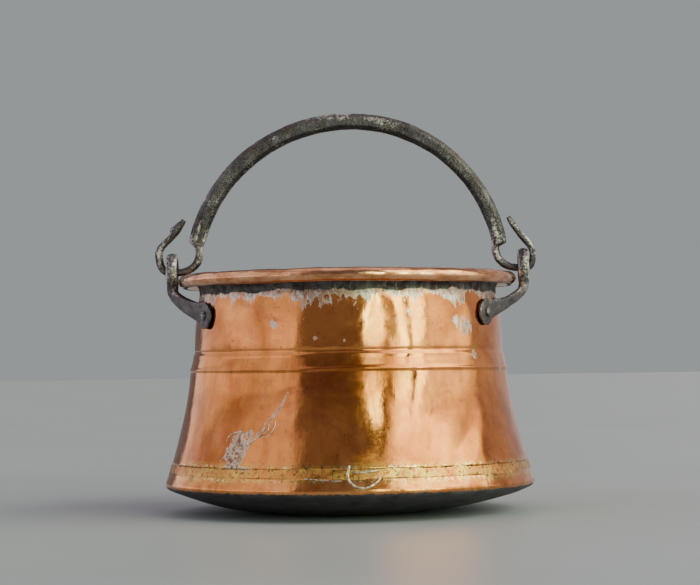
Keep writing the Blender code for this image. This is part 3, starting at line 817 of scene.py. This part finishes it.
HEAD_RADIUS, HEAD_HEIGHT = 4.1 * MM, 2.4 * MM
TAIL_RADIUS, TAIL_HEIGHT = 3.8 * MM, 1.6 * MM
SHANK_RADIUS = 2.5 * MM


def dome(radius, rise, seat, angles):
    return [(radius * math.sin(a), seat + rise * math.cos(a)) for a in angles]


def make_rivet(side, end, material):
    """A rivet with a hammered head on the foot, a shank, and a spread tail inside the pot."""
    seat = FOOT_THICKNESS + 1.5 * SEAT_GAP
    inside = -WALL - 0.5 * MM
    head = dome(HEAD_RADIUS, HEAD_HEIGHT, seat, np.linspace(0.04, 1.45, 12))
    tail = dome(TAIL_RADIUS, TAIL_HEIGHT, inside, np.linspace(1.7, 3.1, 10))
    rims = (HEAD_RADIUS - 0.2 * MM, seat), (TAIL_RADIUS - 0.2 * MM, inside)
    outline = head + [rims[0], (SHANK_RADIUS, seat), (SHANK_RADIUS, inside), rims[1]] + tail
    points = turned(outline, 40)
    seed = 131 + 7 * SIDES[side] + 3 * ENDS[end]
    dents = 0.3 * MM * noise(points + seed, 3.0, seed)
    dents += 0.12 * MM * noise(points, 1.2, seed)
    points[..., 2] += dents * step_between(points[..., 2], seat + 0.3 * MM, seat + 1.0 * MM)
    angle = FOOT_ANGLE * ENDS[end]
    place, normal = wall_place(angle, RIVET_HEIGHT, 0.0)
    turn = Vector(normal).to_track_quat("Z", "Y").to_matrix()
    points = points @ np.array(turn).T + place
    if SIDES[side] < 0:
        points = points * (-1, 1, 1)
    fields = {"worn": np.full(points.shape[:2], 0.35)}
    name = f"hammered_rivet_{side}_{end}"
    rivet = grid_mesh(name, points, material, caps=True, fields=fields, sharp=60)
    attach(rivet, "pot")
    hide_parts(f"rivet_{side}_{end}")


HOOK_STEPS, ARCH_SECTIONS, BAIL_SIDES = 10, 430, 40


def hook_line(side):
    """One hook from its shoulder to its tip: place along X and Z, half widths and depth."""
    table = np.array(SHOULDERS[side] + INNER_LIMB + OUTER_LIMBS[side]) * MM
    places = smooth_through(table[:, :2], HOOK_STEPS)
    sizes = straight_through(table[:, 2:], HOOK_STEPS)
    x = SIDES[side] * (LOOP_RADIUS + places[:, 0])
    return np.column_stack([x, HINGE_HEIGHT + places[:, 1], sizes])


def arch_line():
    angle = np.linspace(LEFT_END, RIGHT_END, ARCH_SECTIONS)
    radius = LOOP_RADIUS - BAIL_INSET
    line = np.empty((ARCH_SECTIONS, 5))
    line[:, 0] = radius * np.cos(angle)
    line[:, 1] = HINGE_HEIGHT - ARCH_DROP + radius * np.sin(angle)
    line[:, 2] = np.interp(np.degrees(angle), ARCH_ANGLES, ARCH_OUTER) * MM
    line[:, 3] = np.interp(np.degrees(angle), ARCH_ANGLES, ARCH_INNER) * MM
    line[:, 4] = BAIL_DEPTH
    return line


def make_bail(material):
    line = np.concatenate([hook_line("left")[::-1], arch_line(), hook_line("right")])
    places = np.stack([line[:, 0], np.zeros(len(line)), line[:, 1]], -1)
    along = tangents(places)
    outward = np.stack([-along[:, 2], along[:, 1], along[:, 0]], -1)
    outer, inner, depth = line[:, 2], line[:, 3], line[:, 4]
    bevel = np.minimum(BAIL_CHAMFER, 0.29 * np.minimum(outer + inner, depth))
    u, v = chamfered_oblong(-inner, outer, depth / 2, bevel, BAIL_SIDES)
    on_arch = step_between(outer, 5.5 * MM, 7.5 * MM)[:, None]
    points = places[:, None] + u[..., None] * outward[:, None]
    points = points + v[..., None] * np.array((0, 1.0, 0))
    normals = ring_normals(points)
    wave = 0.35 * MM * noise(places, 28, 141)[:, None] * (u / (6 * MM)) * on_arch
    shaped = forged(points, normals) + outward[:, None] * wave[..., None]
    # Inside the loop the hook is worn smooth, and it keeps its clearance.
    in_loop = np.abs(np.abs(places[:, 0]) - LOOP_RADIUS) < 9 * MM
    low = places[:, 2] < HINGE_HEIGHT + 8 * MM
    hold = (in_loop & low)[:, None, None]
    points = np.clip(np.where(hold, points, shaped), CAD_LOW, CAD_HIGH)
    rise = places[:, 2:] - HINGE_HEIGHT
    ends = 1 - step_between(np.abs(rise - 20 * MM), 5 * MM, 24 * MM)
    # The top of the arch is painted paler: wear, and a painted highlight from the light above.
    top = step_between(rise, 105 * MM, 122 * MM) * step_between(u, -1 * MM, 3 * MM)
    flank = np.exp(-(((u + inner[:, None] - 1.5 * MM) / (1.5 * MM)) ** 2)) * on_arch
    reach = np.concatenate([[0], np.cumsum(np.linalg.norm(np.diff(places, axis=0), axis=1))])
    grooves = np.stack([np.broadcast_to(reach[:, None] * 0.14, u.shape), u, v], -1)
    streaks = 0.34 * layered(grooves, 2.6, 161, 2)
    worn = 0.44 * ends * np.ones_like(u) + 0.3 * top + 0.2 * flank + streaks
    bail = grid_mesh("forged_bail", points, material, caps=True, fields={"worn": worn}, sharp=50)
    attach(bail, "bail")
    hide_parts("bail_handle")


# ---- materials ----
def new_material(name, metallic=1.0):
    """A new material, and the coordinates in it that its noise is placed by."""
    material = bpy.data.materials.new(name)
    material.use_nodes = True
    shader_of(material).inputs["Metallic"].default_value = metallic
    return material, source(material.node_tree, "ShaderNodeTexCoord", "Object")


def shader_of(material):
    return material.node_tree.nodes["Principled BSDF"]


def source(tree, kind, output, **settings):
    """The output of a new node that takes no inputs."""
    node = tree.nodes.new(kind)
    for key, value in settings.items():
        setattr(node, key, value)
    return node.outputs[output]


def add(kind, inputs, output=0, **settings):
    """The output of a new node, in the tree that its inputs come from."""
    is_socket = {key: isinstance(value, bpy.types.NodeSocket) for key, value in inputs.items()}
    tree = next(inputs[key].id_data for key in inputs if is_socket[key])
    node = source(tree, kind, output, **settings).node
    for key, value in inputs.items():
        if is_socket[key]:
            tree.links.new(value, node.inputs[key])
        else:
            node.inputs[key].default_value = value
    return node.outputs[output]


def stretched(place, stretch):
    return add("ShaderNodeMapping", {"Vector": place, "Scale": stretch})


def grain(place, scale, detail=4.0, rough=0.55, distortion=0.0):
    inputs = {"Vector": place, "Scale": scale, "Detail": detail, "Roughness": rough}
    return add("ShaderNodeTexNoise", {**inputs, "Distortion": distortion})


def field(place, name):
    """A piece's own values of the given name, in the tree that place is in."""
    return source(place.id_data, "ShaderNodeAttribute", "Fac", attribute_name=name)


def ramp(value, low, high, start=0.0, end=1.0):
    """start below low, end above high, and even between them."""
    inputs = {"Value": value, "From Min": low, "From Max": high, "To Min": start, "To Max": end}
    return add("ShaderNodeMapRange", inputs)


def maths(operation, a, b=0.0):
    return add("ShaderNodeMath", {0: a, 1: b}, operation=operation)


def times(a, b):
    return maths("MULTIPLY", a, b)


def centred(value, factor):
    """The value less a half, times a factor."""
    return times(maths("SUBTRACT", value, 0.5), factor)


def blend_colour(share, a, b):
    a, b = ((*c[:3], 1) if isinstance(c, tuple) else c for c in (a, b))
    return add("ShaderNodeMix", {0: share, 6: a, 7: b}, output=2, data_type="RGBA")


def blend_value(share, a, b):
    return add("ShaderNodeMix", {0: share, 2: a, 3: b}, output=0, data_type="FLOAT")


def finish(material, colour, rough, relief, strength, distance):
    """Joins a colour, a roughness and a bump from a relief to the material's shader."""
    bump = add("ShaderNodeBump", {"Height": relief, "Strength": strength, "Distance": distance})
    for key, value in (("Base Color", colour), ("Roughness", rough), ("Normal", bump)):
        material.node_tree.links.new(value, shader_of(material).inputs[key])
    return material


def ragged(value, place, scale, low, high, amount):
    """A mask from a smooth field, its edge broken up by noise."""
    spread = centred(grain(place, scale, 6.0, 0.65), amount * 2)
    return ramp(maths("ADD", value, spread), low, high)


def spilt(value, place, scale, amount):
    """Two masks from a smooth field: what has run over the copper, and its thicker edges, where a
    painted highlight goes.
    """
    spread = centred(grain(place, scale, 6.0, 0.7), amount * 2)
    total = maths("ADD", value, spread)
    return ramp(total, 0.52, 0.58), ramp(total, 0.58, 0.74, 1.0, 0.0)


COPPER = (0.84, 0.31, 0.085)
COPPER_PALE = (0.93, 0.43, 0.16)
COPPER_BROWN = (0.4, 0.12, 0.028)
COPPER_RED = (0.54, 0.15, 0.065)
COPPER_STAIN = (0.24, 0.09, 0.045)
COPPER_SPECK = (0.16, 0.07, 0.04)
BEAD_DARK, BEAD_PALE = (0.48, 0.2, 0.1), (0.95, 0.52, 0.3)
# The first tin colour is a painted highlight on the thick edges of tin and solder.
TIN_EDGE_HIGHLIGHT, TIN_DULL = (0.78, 0.75, 0.7), (0.3, 0.29, 0.285)
TIN_CLOUD, TIN_WHITE = (0.62, 0.58, 0.54), (0.95, 0.9, 0.88)
TIN_HOLE = (0.13, 0.1, 0.1)
LINING_DARK, LINING_PALE = (0.2, 0.185, 0.17), (0.5, 0.48, 0.44)
LINING_WORN = (0.5, 0.24, 0.13)
PATCH_DARK, PATCH_PALE = (0.16, 0.11, 0.08), (0.66, 0.5, 0.4)
SOLDER_PIT, SOLDER = (0.22, 0.16, 0.11), (0.86, 0.78, 0.66)
SOLDER_PINK = (0.78, 0.48, 0.32)
# The black under the rim: grime, and painted shade.
GRIME_AND_SHADE, GRIME_AND_SHADE_GREY = (0.032, 0.027, 0.033), (0.15, 0.155, 0.16)
SCUFF = (0.4, 0.3, 0.24)
SOOT, SOOT_GREY = (0.024, 0.021, 0.024), (0.09, 0.078, 0.092)
SOOT_BURNT = (0.2, 0.1, 0.06)
BRASS, BRASS_GREEN = (0.9, 0.58, 0.12), (0.5, 0.36, 0.09)
BRASS_SPECK, BRASS_PIT = (0.9, 0.76, 0.4), (0.14, 0.09, 0.03)
SEAM_PIT = (0.12, 0.08, 0.04)
IRON, IRON_GREY = (0.054, 0.046, 0.051), (0.158, 0.136, 0.15)
# The pale iron colour is bare rubbed metal, and on the straps' upper sides and the arch's top it is
# painted highlight too.
IRON_MOTTLE, IRON_WORN_AND_HIGHLIGHT = (0.19, 0.165, 0.175), (0.6, 0.52, 0.54)
IRON_PIT = (0.025, 0.024, 0.024)
RUST = (0.1, 0.055, 0.035)


def copper_base(place):
    """Old polished copper: brown and red clouds, pale rubbed places and fine dark specks."""
    clouds = grain(place, 14, 5, 0.6, 0.4)
    colour = blend_colour(ramp(clouds, 0.42, 0.64), COPPER, COPPER_BROWN)
    patches = grain(place, 34, 5, 0.6, 0.8)
    colour = blend_colour(ramp(patches, 0.5, 0.7, 0, 0.65), colour, COPPER_RED)
    wiped = grain(stretched(place, (1, 1, 0.16)), 95, 5, 0.65)
    colour = blend_colour(ramp(wiped, 0.5, 0.72, 0, 0.5), colour, COPPER_BROWN)
    rubbed = grain(place, 22, 4, 0.5, 0.2)
    colour = blend_colour(ramp(rubbed, 0.56, 0.8, 0, 0.6), colour, COPPER_PALE)
    stains = grain(place, 95, 5, 0.7, 0.6)
    colour = blend_colour(ramp(stains, 0.6, 0.7, 0, 0.55), colour, COPPER_STAIN)
    specks = grain(place, 520, 2, 0.5)
    return blend_colour(ramp(specks, 0.66, 0.74, 0, 0.75), colour, COPPER_SPECK)


def brazed(place, colour):
    """Brass that ran out along the seam: a patchy yellow tint, and pale specks at its edges."""
    height = add("ShaderNodeSeparateXYZ", {0: place}, output="Z")
    off = maths("ABSOLUTE", maths("SUBTRACT", height, SEAM_HEIGHT))
    near = ramp(off, 4 * MM, 9.5 * MM, 1, 0)
    patch = ramp(grain(place, 28, 5, 0.65, 0.6), 0.36, 0.54)
    fleck = ramp(grain(place, 260, 5, 0.7), 0.38, 0.56)
    share = times(near, times(patch, fleck))
    tint = blend_colour(ramp(grain(place, 120), 0.4, 0.6), BRASS_GREEN, BRASS)
    colour = blend_colour(times(share, 0.85), colour, tint)
    edge = maths("ABSOLUTE", maths("SUBTRACT", off, 5.2 * MM))
    on_edge = ramp(edge, 0.4 * MM, 1.6 * MM, 1, 0)
    specks = ramp(grain(place, 420, 3, 0.6), 0.57, 0.62)
    colour = blend_colour(times(on_edge, specks), colour, BRASS_SPECK)
    pits = ramp(grain(place, 330, 4, 0.65), 0.57, 0.63)
    return blend_colour(times(near, pits), colour, BRASS_PIT)


def copper_roughness(place):
    smears = grain(place, 26, 5, 0.6, 0.5)
    fine = grain(place, 300, 3, 0.6)
    smears = ramp(smears, 0.35, 0.7, 0.035, 0.22)
    return maths("ADD", smears, ramp(fine, 0.3, 0.8, 0, 0.04))


def copper_relief(place, streaked):
    """The height of scratches and small blows in the copper."""
    fine = times(grain(place, 260, 4, 0.6), 0.35)
    scratch = times(grain(streaked, 210, 3, 0.6), 0.35)
    broad = grain(place, 70, 3, 0.5)
    return maths("ADD", maths("ADD", fine, scratch), broad)


def tinned(place, drips, mask, colour, rough):
    """Tin that has run over the copper: a painted highlight along its edges, and dull in its middle.
    """
    tin, edge = spilt(mask, drips, 200, 0.95)
    shade = ramp(grain(place, 170, 5, 0.7), 0.4, 0.6)
    tin_colour = blend_colour(shade, TIN_DULL, TIN_CLOUD)
    white = ramp(grain(drips, 430, 4, 0.7), 0.5, 0.58)
    tin_colour = blend_colour(white, tin_colour, TIN_WHITE)
    holes = ramp(grain(drips, 310, 5, 0.7), 0.55, 0.6, 0, 0.8)
    tin_colour = blend_colour(holes, tin_colour, TIN_HOLE)
    # The thick edges of the tin get a painted highlight.
    tin_colour = blend_colour(times(edge, 0.9), tin_colour, TIN_EDGE_HIGHLIGHT)
    haze = ramp(grain(place, 130, 6, 0.7), 0.38, 0.6, 0.35, 0.92)
    return blend_colour(times(tin, haze), colour, tin_colour), blend_value(tin, rough, 0.42)


def soldered(place, mask, colour, rough):
    """The repair: ragged pale runs with dark pits, a painted highlight along their edges, and copper
    showing between them.
    """
    solder, edge = spilt(mask, place, 210, 0.85)
    pits = ramp(grain(place, 420, 3, 0.6), 0.44, 0.56)
    solder_colour = blend_colour(pits, PATCH_DARK, PATCH_PALE)
    # The edges of the solder get a painted highlight.
    solder_colour = blend_colour(times(edge, 0.6), solder_colour, TIN_EDGE_HIGHLIGHT)
    return blend_colour(times(solder, 0.85), colour, solder_colour), blend_value(solder, rough, 0.5)


def grimy_and_shaded(place, streaked, drips, mask, colour, rough):
    """Black grime and painted shade in the crease under the rim, scuffed here and there."""
    grime_and_shade_colour = blend_colour(ramp(grain(place, 120, 5, 0.7), 0.4, 0.7), GRIME_AND_SHADE, GRIME_AND_SHADE_GREY)
    scuffs = ramp(grain(streaked, 300, 5, 0.7), 0.56, 0.66, 0, 0.6)
    grime_and_shade_colour = blend_colour(scuffs, grime_and_shade_colour, SCUFF)
    grime_and_shade = ragged(mask, drips, 160, 0.36, 0.64, 0.75)
    return blend_colour(times(grime_and_shade, 0.97), colour, grime_and_shade_colour), blend_value(grime_and_shade, rough, 0.6)


def copper_material():
    material, place = new_material("old copper")
    streaked, drips = stretched(place, (1, 1, 0.12)), stretched(place, (1, 1, 0.4))
    colour, rough = brazed(place, copper_base(place)), copper_roughness(place)
    # The bead is pinker and rubbed paler.
    scuffed = grain(stretched(place, (1, 1, 3)), 75, 6, 0.7)
    pink = blend_colour(ramp(scuffed, 0.4, 0.6), BEAD_DARK, BEAD_PALE)
    colour = blend_colour(times(field(place, "bead"), 0.75), colour, pink)
    colour, rough = tinned(place, drips, field(place, "tin"), colour, rough)
    colour, rough = soldered(place, field(place, "solder"), colour, rough)
    colour, rough = grimy_and_shaded(place, streaked, drips, field(place, "grime_and_shade"), colour, rough)
    # The tinned inside, worn through to copper here and there.
    inside = field(place, "inside")
    colour = blend_colour(inside, colour, lining_colour(place))
    rough = blend_value(inside, rough, 0.48)
    return finish(material, colour, rough, copper_relief(place, streaked), 0.25, 0.4 * MM)


def lining_colour(place):
    """Dull tin over copper, with brown stains and worn places."""
    cloud = ramp(grain(place, 30, 6, 0.65, 0.6), 0.35, 0.65)
    tin = blend_colour(cloud, LINING_DARK, LINING_PALE)
    through = ramp(grain(place, 18, 7, 0.7, 0.3), 0.6, 0.66, 0, 0.8)
    return blend_colour(through, tin, LINING_WORN)


def pan_material():
    """The bottom: bright rubbed copper at the turned-up edge, and soot on the dish."""
    material, place = new_material("sooted copper")
    streaked = stretched(place, (1, 1, 0.12))
    copper = copper_base(place)
    rubbed = ramp(grain(place, 90), 0.42, 0.6, 0, 0.5)
    edge = blend_colour(rubbed, copper, COPPER_PALE)
    edge = brazed(place, edge)
    soot_cloud = ramp(grain(place, 55, 6, 0.65), 0.35, 0.7)
    soot_colour = blend_colour(soot_cloud, SOOT, SOOT_GREY)
    burnt = ramp(grain(place, 240, 4, 0.6), 0.62, 0.72, 0, 0.35)
    soot_colour = blend_colour(burnt, soot_colour, SOOT_BURNT)
    soot = ragged(field(place, "soot"), place, 260, 0.4, 0.62, 0.5)
    inside = field(place, "inside")
    colour = blend_colour(soot, edge, soot_colour)
    colour = blend_colour(inside, colour, lining_colour(place))
    rough = blend_value(soot, copper_roughness(place), 0.62)
    rough = blend_value(inside, rough, 0.5)
    metal = maths("SUBTRACT", 1, times(soot, 0.75))
    metal = blend_value(inside, metal, 1)
    material.node_tree.links.new(metal, shader_of(material).inputs["Metallic"])
    return finish(material, colour, rough, copper_relief(place, streaked), 0.5, 0.6 * MM)


def solder_material():
    """Old solder: pale grey and pink, with dark pits."""
    material, place = new_material("solder")
    pits = ramp(grain(place, 480, 4, 0.65), 0.4, 0.54)
    colour = blend_colour(pits, SOLDER_PIT, SOLDER)
    pink = ramp(grain(place, 190), 0.48, 0.62, 0, 0.7)
    colour = blend_colour(pink, colour, SOLDER_PINK)
    rough = ramp(grain(place, 160), 0.3, 0.7, 0.24, 0.42)
    return finish(material, colour, rough, grain(place, 420, 5, 0.65), 0.6, 0.4 * MM)


def brass_material():
    """The brazed seam: brass and copper mixed, with pits."""
    material, place = new_material("brazing brass")
    colour = brazed(place, copper_base(place))
    pits = ramp(grain(place, 600, 3, 0.6), 0.6, 0.68, 0, 0.7)
    colour = blend_colour(pits, colour, SEAM_PIT)
    rough = ramp(grain(place, 130), 0.3, 0.7, 0.18, 0.4)
    return finish(material, colour, rough, grain(place, 330, 5, 0.65), 0.6, 0.5 * MM)


def iron_material(name, wear):
    """Forged iron: black scale, a little rust, and pale flecks of bare metal where it is rubbed;
    where a piece's worn values mark its tops, the same pale colour is painted highlight too.
    """
    material, place = new_material(name, 0.9)
    cloud = ramp(grain(place, 80, 6, 0.65), 0.35, 0.7)
    colour = blend_colour(cloud, IRON, IRON_GREY)
    rust = ramp(grain(place, 46, 6, 0.7, 0.5), 0.54, 0.68, 0, 0.5)
    colour = blend_colour(rust, colour, RUST)
    fleck = grain(place, 520, 4, 0.7)
    mottle = ramp(fleck, 0.56, 0.64, 0, 0.55)
    colour = blend_colour(mottle, colour, IRON_MOTTLE)
    cloudy = grain(place, 110, 5, 0.65)
    wide, fine = centred(cloudy, 1.3), centred(fleck, 1.5)
    total = times(field(place, "worn"), wear)
    worn = ramp(maths("ADD", total, maths("ADD", wide, fine)), 0.36, 0.74)
    # Pale where worn: bare metal, and on the marked tops a painted highlight.
    colour = blend_colour(worn, colour, IRON_WORN_AND_HIGHLIGHT)
    pits = ramp(grain(place, 700, 3, 0.6), 0.58, 0.66, 0, 0.85)
    colour = blend_colour(pits, colour, IRON_PIT)
    rough = blend_value(worn, ramp(cloud, 0, 1, 0.52, 0.36), 0.34)
    relief = maths("ADD", grain(place, 380, 5, 0.7), grain(place, 120, 4, 0.6))
    return finish(material, colour, rough, relief, 0.8, 0.8 * MM)


# ---- studio ----
FLOOR_DARK, FLOOR_PALE = (0.365, 0.385, 0.43), (0.395, 0.415, 0.462)


def make_floor():
    angle = np.linspace(0, 2 * math.pi, 96, endpoint=False)
    radii = np.array((0.001, 2.0, 6.0, 20.0))[:, None]
    flat = np.stack([radii * np.cos(angle), radii * np.sin(angle), 0 * radii * angle], -1)
    material, place = new_material("pale floor", 0.0)
    shader = shader_of(material)
    shade = ramp(grain(place, 3.0, 3.0, 0.5), 0.3, 0.7)
    colour = blend_colour(shade, FLOOR_DARK, FLOOR_PALE)
    material.node_tree.links.new(colour, shader.inputs["Base Color"])
    shader.inputs["Roughness"].default_value = 0.42
    shader.inputs["Specular IOR Level"].default_value = 0.2
    floor = grid_mesh("floor", flat[::-1], material)
    floor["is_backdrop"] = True


# Panels of the studio's dome: bearings and elevations that each covers, in degrees, its colour,
# its brightness, and how soft its edges are.
PANELS = (
    (-141, -35.5, -20, 14, (1.0, 0.96, 0.97), 1.25, 1.6),
    (-141, -35.5, 14, 52, (1.0, 0.95, 0.98), 0.95, 3.0),
    (17.3, 20.6, -20, 26, (0.76, 1.0, 0.58), 11.0, 0.6),
    (21.8, 25.8, -20, 26, (0.76, 1.0, 0.58), 11.0, 0.6),
    (36.8, 45.7, -20, 26, (0.76, 1.0, 0.58), 10.0, 0.8),
    (50.9, 60.8, -20, 26, (0.8, 1.0, 0.6), 7.5, 1.0),
    (27, 36, -20, 20, (1.0, 0.9, 0.75), 0.55, 1.5),
    (62, 104, -20, 20, (0.96, 1.0, 0.8), 2.2, 3.0),
    (32, 104, 20, 56, (0.94, 1.0, 0.72), 4.6, 3.5),
    (104, 178, -20, 40, (1.0, 0.95, 1.0), 0.6, 10.0),
    (-180, 180, 62, 91, (1.0, 0.92, 1.0), 0.9, 12.0),
)
DOME = (0.2, 0.185, 0.195)
BACKDROP = (0.315, 0.342, 0.348)


def panel_mask(bearing, elevation, panel):
    """1 inside a panel of the dome, with soft edges."""
    left, right, low, high, _, _, soft = panel
    mask = ramp(bearing, left - soft, left + soft)
    mask = times(mask, ramp(bearing, right - soft, right + soft, 1.0, 0.0))
    mask = times(mask, ramp(elevation, low - soft, low + soft))
    return times(mask, ramp(elevation, high - soft, high + soft, 1.0, 0.0))


def make_studio():
    """A dome of soft panels lights the pot, and the camera sees plain grey behind it."""
    world = bpy.data.worlds.new("studio")
    bpy.context.scene.world = world
    world.use_nodes = True
    tree = world.node_tree
    direction = source(tree, "ShaderNodeTexCoord", "Generated")
    parts = add("ShaderNodeSeparateXYZ", {0: direction}).node.outputs
    back = times(parts[1], -1.0)
    bearing = maths("DEGREES", maths("ARCTAN2", parts[0], back))
    elevation = maths("DEGREES", maths("ARCSINE", parts[2]))
    colour = (*DOME, 1)
    for panel in PANELS:
        tint = tuple(c * panel[5] for c in panel[4])
        colour = blend_colour(panel_mask(bearing, elevation, panel), colour, tint)
    seen = source(tree, "ShaderNodeLightPath", "Is Camera Ray")
    colour = blend_colour(seen, colour, BACKDROP)
    background = tree.nodes["Background"]
    tree.links.new(colour, background.inputs["Color"])
    background.inputs["Strength"].default_value = 1.0


CAMERA_DISTANCE, CAMERA_HEIGHT, CAMERA_BEARING = 1.675, 0.118, 2.1
AIM = (1.9 * MM, 0.0, 177.4 * MM)
LENS, SENSOR, CAMERA_ROLL = 105.4, 36.0, -0.8


def make_camera():
    data = bpy.data.cameras.new("camera")
    data.lens, data.sensor_width = LENS, SENSOR
    data.clip_start, data.clip_end = 0.05, 60
    camera = bpy.data.objects.new("camera", data)
    bpy.context.scene.collection.objects.link(camera)
    turn = math.radians(CAMERA_BEARING)
    camera.location = (
        CAMERA_DISTANCE * math.sin(turn),
        -CAMERA_DISTANCE * math.cos(turn),
        CAMERA_HEIGHT,
    )
    aim = (Vector(AIM) - camera.location).to_track_quat("-Z", "Y")
    camera.rotation_mode = "QUATERNION"
    camera.rotation_quaternion = aim @ Quaternion((0, 0, 1), math.radians(CAMERA_ROLL))
    bpy.context.scene.camera = camera


def main():
    make_camera()
    make_studio()
    make_floor()
    make_wall(copper_material())
    make_pan(pan_material())
    make_seam(brass_material())
    solder = solder_material()
    for name in RIDGES:
        make_ridge(name, solder)
    bail_iron = iron_material("bail iron", 1.0)
    ear_iron = iron_material("ear iron", 1.0)
    for side in SIDES:
        make_ear(side, ear_iron)
        for end in ENDS:
            make_rivet(side, end, ear_iron)
    make_bail(bail_iron)
    wire = frame["nodes"]["rim_wire"]
    wire.data.materials.clear()
    wire.data.materials.append(iron_material("wire iron", 0.0))


main()
